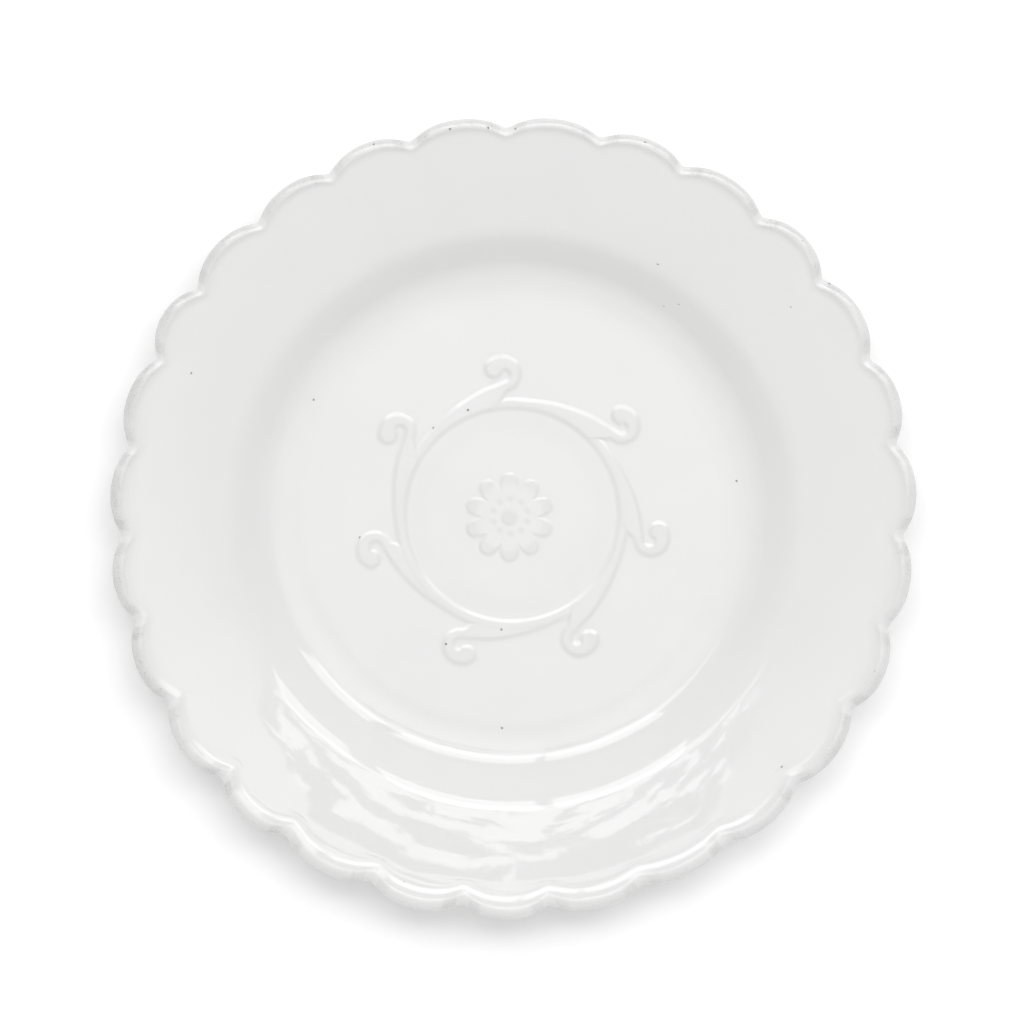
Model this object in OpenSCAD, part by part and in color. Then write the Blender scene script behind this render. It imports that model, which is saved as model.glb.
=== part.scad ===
// Scalloped dessert plate of glazed stoneware: a flat floor, a coved well wall, a gently
// rising rim and a thick rounded lip cut into scallops, standing on a turned foot ring.
// A moulded ring with curled tendrils and a small rosette stand in low relief on the floor.
// Clay pieces carry thin glaze skins. The relief stands on the clay and through the glaze.
// The origin is at the centre of the standing face, +Z is up and +Y is the plate's top.

/* [Plate] */
// Diameter over the scallop tips
plate_d = 210; // [200:1:222]
// Diameter of the flat floor
floor_d = 111; // [104:1:116]
// Diameter of the circle where the rim begins
rim_inner_d = 151.6; // [148:0.2:156]
// Thickness of the clay under floor and wall
clay_t = 4.5; // [3.6:0.1:5.4]
// Thickness of the clay where the rim meets the lip
rim_edge_t = 2.6; // [2.2:0.1:3.2]
// Width of the band round the floor that begins to rise, where there is room for it
sweep_w = 6.7; // [5:0.1:7.5]
// Slope at the end of that band, in degrees
sweep_slope = 8; // [5:0.5:11]
// Radius of the hollow curve between that band and the wall, where there is room for it
cove_r = 9; // [7:0.5:10]
// Radius of the round edge between wall and rim, where there is room for it
edge_r = 8; // [6:0.5:10]
// Steepest slope of the well wall, in degrees
wall_slope = 40; // [36:1:44]
// Slope of the rim, in degrees
rim_slope = 8; // [6:0.5:11]

/* [Glaze] */
// Thickness of the glaze on the upper side
front_glaze_t = 0.5; // [0.3:0.05:0.7]
// Thickness of the glaze on the underside
back_glaze_t = 0.4; // [0.3:0.05:0.6]

/* [Foot] */
// Height of the foot ring over its standing face
foot_h = 3; // [2:0.1:4]
// Outer diameter of the foot ring at the clay
foot_d = 124; // [120:1:130]
// Width of the foot ring at the clay
foot_w = 5.4; // [4.5:0.1:7]
// Width of the standing face
foot_face_w = 3.2; // [2.4:0.1:4]

/* [Lip] */
// Number of scallops
scallop_count = 27; // [24:1:30]
// Depth of the notches between scallops
notch_depth = 3.6; // [2.6:0.1:4.2]
// Direction of the first notch, in degrees
notch_start = 9.9; // [0:0.1:13]
// Fullness of a scallop: 2 is a plain arch, and more is squarer
fullness = 2.6; // [2:0.1:3.2]
// Width of the lip in plan at a scallop's tip
lip_w = 3.6; // [3.3:0.1:4.4]
// Width of the lip in plan at a notch
lip_notch_w = 2.6; // [2.2:0.1:3.2]
// Radius of the rounded bead of the lip, where the lip is wide enough
lip_r = 2; // [1.7:0.05:2.1]
// Height of the lip's crest over the glazed rim
lip_rise = 0.55; // [0.4:0.05:0.8]
// How much lower the crest lies in a notch
notch_dip = 0.3; // [0:0.05:0.4]

/* [Ring and tendrils] */
// Diameter of the ring along its crest
ring_d = 57.8; // [54:0.2:61]
// Width of the ring
ring_w = 2.8; // [2.4:0.1:3.2]
// Height of the ring and tendrils over the glazed floor
relief_h = 1.1; // [0.7:0.1:1.3]
// Number of tendrils
tendril_count = 7; // [5:1:8]
// Direction of the first curl, in degrees
tendril_start = 40.2; // [0:0.1:51]
// Width of a tendril
tendril_w = 2.8; // [2.4:0.1:3]
// Distance of the curls' centres from the crest of the ring
curl_out = 8.1; // [7:0.1:9]
// Radius of the curl along its middle
curl_r = 2.6; // [2.5:0.1:3]
// Turn of the curl from its stem to its tip, in degrees
curl_turn = 155; // [140:1:170]
// Radius of the bend that leads from the ring into the curl
stem_r = 5; // [4:0.1:6]
// Turn of that bend, in degrees
stem_turn = 62; // [58:1:66]
// Diameter of the round tip
tip_d = 4.6; // [3.6:0.1:4.8]
// Height of the round tip over the glazed floor
tip_h = 1.3; // [1.1:0.05:1.5]

/* [Rosette] */
// Number of petals
petal_count = 10; // [8:1:10]
// Direction of the first petal, in degrees
petal_start = 90; // [0:1:90]
// Diameter over the petals
rosette_d = 23.8; // [23:0.2:28]
// Width of a petal at its round end
petal_w = 4.9; // [4:0.1:5.2]
// Width of a petal at its root
petal_root_w = 1.5; // [1:0.1:1.6]
// Height of a petal over the glazed floor
petal_h = 0.7; // [0.5:0.05:0.9]
// Height of a petal's side edge over the glazed floor
petal_edge_h = 0.3; // [0.2:0.05:0.4]
// Diameter of the button in the middle
button_d = 4.4; // [3.6:0.1:5]
// Height of the button over the glazed floor
button_h = 0.8; // [0.6:0.05:1]
// Height of the button's side edge over the glazed floor
button_edge_h = 0.4; // [0.2:0.05:0.5]
// Width of the glazed groove between the button and the petal roots
button_groove_w = 0.9; // [0.6:0.05:1.2]
// Sideways set of the rosette from the plate's centre
rosette_dx = -0.7; // [-1:0.1:1]
// Set of the rosette from the plate's centre along +Y
rosette_dy = -0.7; // [-1:0.1:1]

/* [Hidden] */

$fa = 4;
$fs = 0.5;

// Hand spacing of the notches and curls, each a share of one even step
notch_shift_shares = [
    0.08, 0.06, 0.08, 0.04, 0.07, 0.04, 0.08, 0.15, 0.11,
    0.05, 0.04, -0.07, -0.04, -0.05, -0.11, -0.13, -0.11, -0.16,
    -0.10, -0.05, -0.09, -0.03, 0, 0, 0.04, 0.04, 0.06];
curl_shift_shares = [-0.04, 0.02, 0, -0.03, 0.04, 0, 0.01];

// How far each scallop's tip falls short of the full radius, as a share of the notch depth
tip_short_shares = [
    0.02, 0.05, 0.02, 0.12, 0.16, 0.21, 0.14, 0.12, 0.19,
    0.09, 0, 0.09, 0.16, 0.07, 0.02, 0, 0.1, 0.16,
    0.09, 0.18, 0.32, 0.5, 0.32, 0.25, 0.09, 0.16, 0.05];

// Most of the way from floor to rim that each curve may take, and the least inner radius of a bend
sweep_run_share = 0.36;
cove_run_share = 0.27;
edge_run_share = 0.27;
inner_bend_share = 0.1;

// Steps in which the curves are drawn
sweep_steps = 5;
cove_steps = 9;
edge_steps = 9;
scallop_steps = 9;
bead_steps = 10;
stem_steps = 6;
curl_steps = 8;
tip_steps = 4;
crown_steps = 6;

// One overrun serves every cut
cut = 2;

plate_r = plate_d / 2;
floor_r = floor_d / 2;
floor_z = foot_h + clay_t;
glazed_floor_z = floor_z + front_glaze_t;
notch_r = plate_r - notch_depth;
seat_r = plate_r - lip_w;
seat_notch_r = notch_r - lip_notch_w;

// Centres of the three curves of the upper side, and the straight wall before the last one
wall_run = rim_inner_d / 2 - floor_r;
sweep_r = min(sweep_w, wall_run * sweep_run_share) / sin(sweep_slope);
cove_fit_r = min(cove_r, wall_run * cove_run_share / (sin(wall_slope) - sin(sweep_slope)));
edge_fit_r = min(edge_r, wall_run * edge_run_share / (sin(wall_slope) - sin(rim_slope)));
sweep_c = [floor_r, floor_z + sweep_r];
cove_c = sweep_c + (sweep_r - cove_fit_r) * [sin(sweep_slope), -cos(sweep_slope)];
cove_end = cove_c + cove_fit_r * [sin(wall_slope), -cos(wall_slope)];
edge_c_x = rim_inner_d / 2 + edge_fit_r * sin(rim_slope);
wall_rise = (edge_c_x - edge_fit_r * sin(wall_slope) - cove_end.x) * tan(wall_slope);
edge_c = [edge_c_x, cove_end.y + wall_rise - edge_fit_r * cos(wall_slope)];
rim_z = edge_c.y + edge_fit_r * cos(rim_slope);
seat_z = rim_z + (seat_r - rim_inner_d / 2) * tan(rim_slope);
level_z = seat_z + front_glaze_t;
crest_z = level_z + lip_rise;

ring_in_r = (ring_d - ring_w) / 2;
ring_out_r = (ring_d + ring_w) / 2;
foot_out_r = foot_d / 2;
foot_in_r = foot_out_r - foot_w;

function reversed(points) = [for (i = [len(points) - 1:-1:0]) points[i]];
function mix(a, b, share) = a + (b - a) * share;

// Points of the three curves, moved by d along the surface's upward normal
function hollow_point(c, r, slope) = c + r * [sin(slope), -cos(slope)];
function sweep_points(d) = [
    for (i = [0:sweep_steps - 1])
        hollow_point(sweep_c, sweep_r - d, mix(0, sweep_slope, i / sweep_steps))];
function cove_points(d) = [
    for (i = [0:cove_steps])
        hollow_point(cove_c, cove_fit_r - d, mix(sweep_slope, wall_slope, i / cove_steps))];
function edge_slope(i) = mix(wall_slope, rim_slope, i / edge_steps);
function edge_points(d) =
    let (
        r = max(edge_fit_r + d, clay_t * inner_bend_share),
        mid = (wall_slope + rim_slope) / 2,
        set_in = (edge_fit_r + d - r) / cos((wall_slope - rim_slope) / 2),
        c = edge_c + set_in * [-sin(mid), cos(mid)])
    [for (i = [0:edge_steps]) c + r * [-sin(edge_slope(i)), cos(edge_slope(i))]];

// Upper side of the clay moved up by d, from the axis out to the scallop tips
function upper_line(d) = concat(
    [[0, floor_z + d]],
    sweep_points(d),
    cove_points(d),
    edge_points(d),
    [[plate_r, rim_z + d / cos(rim_slope) + (plate_r - rim_inner_d / 2) * tan(rim_slope)]]);

// Underside of the clay moved down by d. The rim thins towards the lip
function under_start(d) = edge_points(-clay_t - d)[edge_steps];
function under_seat(d) = [seat_r, seat_z - rim_edge_t - d];
function under_rim(r, d) =
    under_start(d) + (under_seat(d) - under_start(d)) * (r - under_start(d).x)
        / (seat_r - under_start(d).x);
function under_line(d) = concat(
    [[0, foot_h - d]],
    sweep_points(-clay_t - d),
    cove_points(-clay_t - d),
    edge_points(-clay_t - d),
    [under_rim(plate_r, d)]);

// Notches and scallops. Scallop i lies between notches i and i + 1, and u runs along it
notch_step = 360 / scallop_count;
function notch_shift(i) = notch_shift_shares[(i % scallop_count) % len(notch_shift_shares)];
function notch_angle(i) = notch_start + notch_step * (i + notch_shift(i));
function tip_short(i) = notch_depth * tip_short_shares[i % len(tip_short_shares)];

// Share of the way from tip to notch at which the scallop's edge lies
function fall(u) = pow(abs(2 * u - 1), fullness);

// Places round the outline. Each entry is a direction, the fall there and how short the tip is
scallop_places = [
    for (i = [0:scallop_count - 1], j = [0:scallop_steps - 1])
        let (u = (1 - cos(180 * j / scallop_steps)) / 2)
        [notch_angle(i) + (notch_angle(i + 1) - notch_angle(i)) * u, fall(u), tip_short(i)]];

// Points of the scalloped outline whose tips reach tip_r and whose notches reach down to end_r
function outline(tip_r, end_r) = [
    for (place = scallop_places)
        mix(tip_r - place[2], end_r, place[1]) * [cos(place[0]), sin(place[0])]];
seat_points = outline(seat_r, seat_notch_r);
lip_points = outline(plate_r, notch_r);

module seat_prism() {
    linear_extrude(height = crest_z + cut)
        polygon(seat_points);
}

// Section of the lip: a round bead, whose flank runs down to the glazed rim. Each entry is how far
// out the point lies, as a share of the width, and its height over the middle of the bead
bead_r = min(lip_r, lip_w + lip_rise - sqrt(2 * lip_w * lip_rise));
flank = [bead_r - lip_w, bead_r - lip_rise];
bead_end = atan2(flank.y, flank.x) - acos(min(1, bead_r / norm(flank)));
bead_section = concat(
    [for (k = [0:bead_steps])
        let (a = (bead_end + 90) * k / bead_steps - 90)
        [(lip_w - bead_r + bead_r * cos(a)) / lip_w, bead_r * sin(a)]],
    [[0, flank.y]]);

// One ring of the lip's skin. It follows the slope of the rim in and out of the notches
function bead_ring(i) =
    let (
        seat = seat_points[i],
        drop = (seat_r - norm(seat)) * tan(rim_slope),
        squash = 1 - notch_dip * scallop_places[i][1] / lip_rise)
    concat(
        [[seat.x, seat.y, under_rim(norm(seat), back_glaze_t).y]],
        [for (entry = bead_section)
            let (
                p = mix(seat, lip_points[i], entry[0]),
                over = entry[1] - flank.y)
            [p.x, p.y, level_z - drop + (over > 0 ? over * squash : over)]]);

// Faces of a skin over rings of n points each, in two triangles a field
function skin_faces(rings, n, closed) = [
    for (i = [0:rings - (closed ? 1 : 2)], k = [0:n - 1])
        let (
            a = i * n + k,
            b = i * n + (k + 1) % n,
            c = (i + 1) % rings * n + (k + 1) % n,
            d = (i + 1) % rings * n + k)
        each [[a, c, b], [a, d, c]]];
function cap_faces(rings, n) = [
    [for (k = [0:n - 1]) k],
    [for (k = [n - 1:-1:0]) (rings - 1) * n + k]];

// Radius of a crown that rises by rise over the width w
function crown_r(w, rise) = (w * w / 4 + rise * rise) / (2 * rise);

// Section of a rounded moulding of width w that stands on the clay and h over the glaze
module moulding_section(w, h) {
    intersection() {
        translate([0, glazed_floor_z + h - crown_r(w, h)]) circle(r = crown_r(w, h));
        translate([-w / 2, floor_z]) square([w, front_glaze_t + h + cut]);
    }
}

// Half section of a round boss, whose crown starts at edge_h over the glaze
module boss_section(w, h, edge_h) {
    intersection() {
        translate([0, glazed_floor_z + h - crown_r(w, h - edge_h)]) circle(r = crown_r(w, h - edge_h));
        translate([0, floor_z]) square([w / 2, front_glaze_t + h + cut]);
    }
}

// Hole through the glaze of the floor, with the plan that is its child
module glaze_hole() {
    translate([0, 0, floor_z - cut])
        linear_extrude(height = front_glaze_t + 2 * cut) children();
}

// Middle line of a tendril, from its tail inside the ring over the stem's bend and the curl to
// its round tip. Each entry is a point, a heading, half the width and the height of the crown
curl_circle_r = ring_d / 2 + curl_out;
stem_c = [curl_circle_r, stem_r - curl_r];
stem_at = stem_c + stem_r * [-sin(stem_turn), -cos(stem_turn)];
tail_l = stem_at * [cos(stem_turn), -sin(stem_turn)];
tail_at = stem_at + tail_l * [-cos(stem_turn), sin(stem_turn)];
curl_c = [curl_circle_r, 0];
tip_c = curl_c + curl_r * [sin(curl_turn), -cos(curl_turn)];

tendril_line = concat(
    [[tail_at, -stem_turn, tendril_w / 2, relief_h]],
    [for (i = [0:stem_steps])
        let (a = stem_turn * (i / stem_steps - 1))
        [stem_c + stem_r * [sin(a), -cos(a)], a, tendril_w / 2, relief_h]],
    [for (i = [1:curl_steps])
        let (share = i / curl_steps, a = curl_turn * share)
        [curl_c + curl_r * [sin(a), -cos(a)], a,
            mix(tendril_w, tip_d, share) / 2, mix(relief_h, tip_h, share)]],
    [for (i = [1:tip_steps])
        let (a = 90 * i / (tip_steps + 1))
        [tip_c + tip_d / 2 * sin(a) * [cos(curl_turn), sin(curl_turn)], curl_turn,
            tip_d / 2 * cos(a), tip_h * cos(a)]]);

// Point of the tendril's plan, at the share u of half its width to the left of the line
function beside(entry, u) = entry[0] + entry[2] * u * [-sin(entry[1]), cos(entry[1])];
function tendril_ring(entry) = concat(
    [[each beside(entry, -1), floor_z]],
    [for (k = [0:crown_steps])
        let (a = 180 * k / crown_steps)
        [each beside(entry, -cos(a)), glazed_floor_z + entry[3] * sin(a)]],
    [[each beside(entry, 1), floor_z]]);

module tendril_solid() {
    rings = [for (entry = tendril_line) tendril_ring(entry)];
    polyhedron(
        points = [for (ring = rings) each ring],
        faces = concat(
            skin_faces(len(rings), len(rings[0]), false),
            cap_faces(len(rings), len(rings[0]))));
}

module tendril_plan() {
    polygon(concat(
        [for (entry = tendril_line) beside(entry, -1)],
        reversed([for (entry = tendril_line) beside(entry, 1)])));
}

module at_curl(i) {
    rotate([0, 0, tendril_start + 360 / tendril_count
            * (i - 1 + curl_shift_shares[(i - 1) % len(curl_shift_shares)])])
        children();
}

// Plan of one petal, pointing along +X
petal_root_x = button_d / 2 + button_groove_w;
petal_end_x = (rosette_d - petal_w) / 2;

module petal_plan() {
    translate([petal_end_x, 0]) circle(d = petal_w);
    polygon([
        [petal_root_x, -petal_root_w / 2],
        [petal_end_x, -petal_w / 2],
        [petal_end_x, petal_w / 2],
        [petal_root_x, petal_root_w / 2]]);
}

module at_petal(i) {
    translate([rosette_dx, rosette_dy, 0])
        rotate([0, 0, petal_start + 360 / petal_count * (i - 1)])
            children();
}

module upper_skin() {
    rotate_extrude()
        polygon(concat(upper_line(front_glaze_t), reversed(upper_line(0))));
}

// Sub-parts
module clay_body() {
    color("#8b8681")
        intersection() {
            rotate_extrude()
                polygon(concat(upper_line(0), reversed(under_line(0))));
            seat_prism();
        }
}

module foot_ring() {
    slant = (foot_w - foot_face_w) / 2;
    color("#8b8681")
        difference() {
            rotate_extrude()
                polygon([
                    [foot_in_r + slant, 0],
                    [foot_out_r - slant, 0],
                    [foot_out_r, foot_h],
                    [foot_out_r, floor_z],
                    [foot_in_r, floor_z],
                    [foot_in_r, foot_h]]);
            rotate_extrude()
                polygon(concat(under_line(0), [[plate_r, crest_z], [0, crest_z]]));
        }
}

module scalloped_lip() {
    rings = [for (i = [0:len(seat_points) - 1]) bead_ring(i)];
    color("#c9c8c5")
        polyhedron(
            points = [for (ring = rings) each ring],
            faces = skin_faces(len(rings), len(rings[0]), true));
}

module front_glaze() {
    color("#eceae7")
        difference() {
            intersection() {
                upper_skin();
                seat_prism();
            }
            cylinder(r = ring_out_r, h = crest_z);
            for (i = [1:tendril_count])
                at_curl(i) glaze_hole() tendril_plan();
        }
}

module medallion_glaze() {
    color("#eceae7")
        difference() {
            translate([0, 0, floor_z]) cylinder(r = ring_in_r, h = front_glaze_t);
            for (i = [1:petal_count])
                at_petal(i) glaze_hole() petal_plan();
            translate([rosette_dx, rosette_dy, 0])
                glaze_hole() circle(d = button_d);
        }
}

module back_glaze() {
    color("#e4e2de")
        difference() {
            intersection() {
                rotate_extrude()
                    polygon(concat(under_line(0), reversed(under_line(back_glaze_t))));
                seat_prism();
            }
            cylinder(r = foot_out_r, h = crest_z);
        }
}

module foot_glaze() {
    color("#e4e2de")
        intersection() {
            rotate_extrude()
                polygon(concat(under_line(0), reversed(under_line(back_glaze_t))));
            cylinder(r = foot_in_r, h = crest_z);
        }
}

module ring_moulding() {
    color("#e6e4e1")
        rotate_extrude()
            translate([ring_d / 2, 0]) moulding_section(ring_w, relief_h);
}

module tendril(i) {
    color("#e6e4e1")
        difference() {
            at_curl(i) tendril_solid();
            cylinder(r = ring_out_r, h = crest_z);
        }
}

module petal(i) {
    back_r = crown_r(petal_w, petal_h - petal_edge_h);
    color("#e6e4e1")
        at_petal(i)
            intersection() {
                translate([0, 0, floor_z])
                    linear_extrude(height = front_glaze_t + petal_h + cut) petal_plan();
                translate([0, 0, glazed_floor_z + petal_h - back_r])
                    rotate([0, 90, 0]) cylinder(r = back_r, h = rosette_d);
            }
}

module rosette_button() {
    color("#dfddda")
        translate([rosette_dx, rosette_dy, 0])
            rotate_extrude() boss_section(button_d, button_h, button_edge_h);
}

clay_body();
foot_ring();
scalloped_lip();
front_glaze();
medallion_glaze();
back_glaze();
foot_glaze();
ring_moulding();
for (i = [1:tendril_count])
    tendril(i);
for (i = [1:petal_count])
    petal(i);
rosette_button();
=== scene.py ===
import math

import bpy
import numpy as np
from mathutils import Matrix, Vector


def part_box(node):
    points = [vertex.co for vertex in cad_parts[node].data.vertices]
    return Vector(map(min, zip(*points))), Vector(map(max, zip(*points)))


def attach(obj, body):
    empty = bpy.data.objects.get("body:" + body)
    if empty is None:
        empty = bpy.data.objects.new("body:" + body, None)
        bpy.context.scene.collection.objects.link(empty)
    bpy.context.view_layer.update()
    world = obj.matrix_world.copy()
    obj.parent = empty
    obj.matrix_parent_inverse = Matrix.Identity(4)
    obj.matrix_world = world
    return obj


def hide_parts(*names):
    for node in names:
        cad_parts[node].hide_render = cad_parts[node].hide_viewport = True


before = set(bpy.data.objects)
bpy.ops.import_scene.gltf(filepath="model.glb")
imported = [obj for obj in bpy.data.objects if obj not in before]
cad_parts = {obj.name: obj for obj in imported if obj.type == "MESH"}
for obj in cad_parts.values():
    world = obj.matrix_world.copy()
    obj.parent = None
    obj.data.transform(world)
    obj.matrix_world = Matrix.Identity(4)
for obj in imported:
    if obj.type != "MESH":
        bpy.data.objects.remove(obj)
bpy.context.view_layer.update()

# The clay body
# Dark grey stoneware, pressed over a mould while soft. It lies wholly under its coat of
# glaze, so the CAD piece stays as it is and only gets the fired clay as its finish.

mm = 0.001
clay_grey = (0.34, 0.31, 0.285)
clay_dark_grit = (0.15, 0.135, 0.125)
clay_pale_grit = (0.5, 0.47, 0.44)
clay_roughness = 0.85


def add(tree, kind, inputs=None, **settings):
    """A new node of a shader or geometry tree, with its settings and with values or links put in."""
    node = tree.nodes.new(kind)
    for name, value in settings.items():
        setattr(node, name, value)
    for key, value in (inputs or {}).items():
        if isinstance(value, bpy.types.NodeSocket):
            tree.links.new(value, node.inputs[key])
        else:
            node.inputs[key].default_value = value
    return node


def calc(tree, operation, *values):
    """The result of a Math node."""
    return add(tree, "ShaderNodeMath", dict(enumerate(values)), operation=operation).outputs[0]


def new_group(name, inputs, outputs):
    """A shader group with named number inputs, each with its usual value, and number outputs."""
    tree = bpy.data.node_groups.new(name, "ShaderNodeTree")
    for key, value in inputs.items():
        socket = tree.interface.new_socket(key, in_out="INPUT", socket_type="NodeSocketFloat")
        socket.default_value = value
    for key in outputs:
        tree.interface.new_socket(key, in_out="OUTPUT", socket_type="NodeSocketFloat")
    return tree, add(tree, "NodeGroupInput").outputs


def clay_speckle_group(bare_edge=0.72, cover_span=0.4):
    """Grit of the clay, as a mask of fine spots."""
    tree, given = new_group(
        "clay_speckle", {"Spot Size": 0.6 * mm, "Cover": 0.2, "Softness": 0.1, "Seed": 0.0}, ["Spots"])
    place = add(tree, "ShaderNodeTexCoord").outputs["Object"]
    noise = add(tree, "ShaderNodeTexNoise", {
        "Vector": place, "W": given["Seed"], "Scale": calc(tree, "DIVIDE", 1.0, given["Spot Size"]),
        "Detail": 1.5, "Roughness": 0.6}, noise_dimensions="4D").outputs["Fac"]
    edge = calc(tree, "SUBTRACT", bare_edge, calc(tree, "MULTIPLY", given["Cover"], cover_span))
    spots = add(tree, "ShaderNodeMapRange", {
        "Value": noise, "From Min": edge, "From Max": calc(tree, "ADD", edge, given["Softness"])},
        interpolation_type="SMOOTHSTEP").outputs[0]
    add(tree, "NodeGroupOutput", {"Spots": spots})
    return tree


clay_speckle = clay_speckle_group()


def placed(tree, group, **values):
    """A shader group placed in a material with this material's own values."""
    node = tree.nodes.new("ShaderNodeGroup")
    node.node_tree = group
    for name, value in values.items():
        socket = node.inputs[name.replace("_", " ").title()]
        if isinstance(value, bpy.types.NodeSocket):
            tree.links.new(value, socket)
        else:
            socket.default_value = value
    return node.outputs


def blended(tree, share, a, b):
    """Colour between a and b at the given share."""
    node = tree.nodes.new("ShaderNodeMix")
    node.data_type = "RGBA"
    for key, value in ((0, share), (6, a), (7, b)):
        if isinstance(value, bpy.types.NodeSocket):
            tree.links.new(value, node.inputs[key])
        else:
            node.inputs[key].default_value = value if key == 0 else (*value, 1)
    return node.outputs[2]


def new_material(name):
    """An empty material and its tree, with its Principled shader joined to the output."""
    material = bpy.data.materials.new(name)
    material.use_nodes = True
    tree = material.node_tree
    shader = tree.nodes["Principled BSDF"]
    return material, tree, shader


def gritty_clay(tree):
    """Grey clay with dark grit: its colour and the mask of the grit."""
    dark = placed(tree, clay_speckle, spot_size=0.5 * mm, cover=0.45, softness=0.12, seed=1.0)["Spots"]
    return blended(tree, dark, clay_grey, clay_dark_grit), dark


def fired_clay():
    """Matt dark stoneware with black and pale grit."""
    material, tree, shader = new_material("fired_clay")
    body, dark = gritty_clay(tree)
    pale = placed(tree, clay_speckle, spot_size=0.35 * mm, cover=0.25, softness=0.1, seed=5.0)["Spots"]
    tree.links.new(blended(tree, pale, body, clay_pale_grit), shader.inputs["Base Color"])
    shader.inputs["Roughness"].default_value = clay_roughness
    bump = add(tree, "ShaderNodeBump", {"Height": dark, "Strength": 0.6, "Distance": 0.05 * mm}, invert=True)
    tree.links.new(bump.outputs[0], shader.inputs["Normal"])
    return material


clay = fired_clay()
clay_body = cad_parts["clay_body"]
clay_body.data.materials.clear()
clay_body.data.materials.append(clay)

# The foot ring
# A low ring of the same clay, turned on the wheel with its corners rounded off. Its face
# stays bare, and glaze has run down its two sides to an uneven line.

foot_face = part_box("foot_ring")[0].z
foot_out_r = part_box("foot_ring")[1].x
foot_in_r = -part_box("foot_glaze")[0].x
foot_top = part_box("foot_ring")[1].z
underside_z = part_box("foot_glaze")[0].z
foot_slant = 1.1 * mm
foot_lean = 10
foot_round = 0.7 * mm
foot_round_steps = 8
foot_columns = 360
glaze_line_z = 1.7 * mm
glaze_line_wander = 1.6 * mm
glaze_edge_w = 0.25 * mm
back_gloss = 0.12


def in_scene(name, data):
    """A new object with this mesh, lamp or camera, linked to the scene."""
    item = bpy.data.objects.new(name, data)
    bpy.context.scene.collection.objects.link(item)
    return item


def carry(mesh, key, values):
    """Gives every point of a mesh a number of its own under this name."""
    mesh.attributes.new(key, "FLOAT", "POINT").data.foreach_set("value", np.asarray(values, float))


def joined_up(count):
    """The edges that join so many points in a row."""
    return [(i, i + 1) for i in range(count - 1)]


def section_mesh(name, points, **shares):
    """A section line in the plane of X and Z, with a value of its own at each point for every share."""
    mesh = bpy.data.meshes.new(name)
    mesh.from_pydata([(r, 0, z) for r, z in points], joined_up(len(points)), [])
    for key, values in shares.items():
        carry(mesh, key, values)
    return in_scene(name, mesh)


def new_tree(name, **sockets):
    """A geometry tree with its geometry in and out and its named inputs."""
    tree = bpy.data.node_groups.new(name, "GeometryNodeTree")
    tree.interface.new_socket("Geometry", in_out="INPUT", socket_type="NodeSocketGeometry")
    for key, kind in sockets.items():
        title = key.replace("_", " ").title()
        tree.interface.new_socket(title, in_out="INPUT", socket_type="NodeSocket" + kind)
    tree.interface.new_socket("Geometry", in_out="OUTPUT", socket_type="NodeSocketGeometry")
    return tree, add(tree, "NodeGroupInput").outputs


def whole(tree, operation, a, b):
    """The result of an Integer Math node."""
    return add(tree, "FunctionNodeIntegerMath", {0: a, 1: b}, operation=operation).outputs[0]


def named(tree, name):
    """A share that the points carry, read by its name."""
    return add(tree, "GeometryNodeInputNamedAttribute", {"Name": name}, data_type="FLOAT").outputs[0]


def taken(tree, geometry, value, index, data_type="FLOAT"):
    """The value that one point of a geometry carries."""
    return add(tree, "GeometryNodeSampleIndex", {
        "Geometry": geometry, "Value": value, "Index": index}, data_type=data_type, domain="POINT").outputs[0]


def turning_grid(tree, section, columns):
    """A grid with a row for each point of the section, and the column and row of each of its vertices."""
    rows = add(tree, "GeometryNodeAttributeDomainSize", {"Geometry": section}).outputs["Point Count"]
    grid = add(tree, "GeometryNodeMeshGrid", {
        "Vertices X": whole(tree, "ADD", columns, 1), "Vertices Y": rows}).outputs["Mesh"]
    index = add(tree, "GeometryNodeInputIndex").outputs[0]
    return grid, whole(tree, "DIVIDE_FLOOR", index, rows), whole(tree, "MODULO", index, rows)


def set_round(tree, grid, angle, r, z, closed_within=0.001 * mm):
    """The grid's vertices put at an angle, a radius and a height, with the seam closed."""
    x = calc(tree, "MULTIPLY", r, calc(tree, "COSINE", angle))
    y = calc(tree, "MULTIPLY", r, calc(tree, "SINE", angle))
    place = add(tree, "ShaderNodeCombineXYZ", {0: x, 1: y, 2: z}).outputs[0]
    put = add(tree, "GeometryNodeSetPosition", {"Geometry": grid, "Position": place}).outputs[0]
    merged = add(tree, "GeometryNodeMergeByDistance", {
        "Geometry": put, "Distance": closed_within}).outputs[0]
    return add(tree, "GeometryNodeFlipFaces", {0: merged}).outputs[0]


def close_tree(tree, geometry, material, crease=math.radians(50)):
    """The end of every tree: smooth faces with sharp creases, real instances and the material."""
    smooth = add(tree, "GeometryNodeSetShadeSmooth", {0: geometry}).outputs[0]
    bend = add(tree, "GeometryNodeInputMeshEdgeAngle").outputs["Unsigned Angle"]
    sharp = calc(tree, "GREATER_THAN", bend, crease)
    creased = add(tree, "GeometryNodeSetShadeSmooth", {
        0: smooth, "Selection": sharp, "Shade Smooth": False}, domain="EDGE")
    real = add(tree, "GeometryNodeRealizeInstances", {0: creased.outputs[0]}).outputs[0]
    painted = add(tree, "GeometryNodeSetMaterial", {0: real, "Material": material}).outputs[0]
    add(tree, "NodeGroupOutput", {0: painted})


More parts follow.
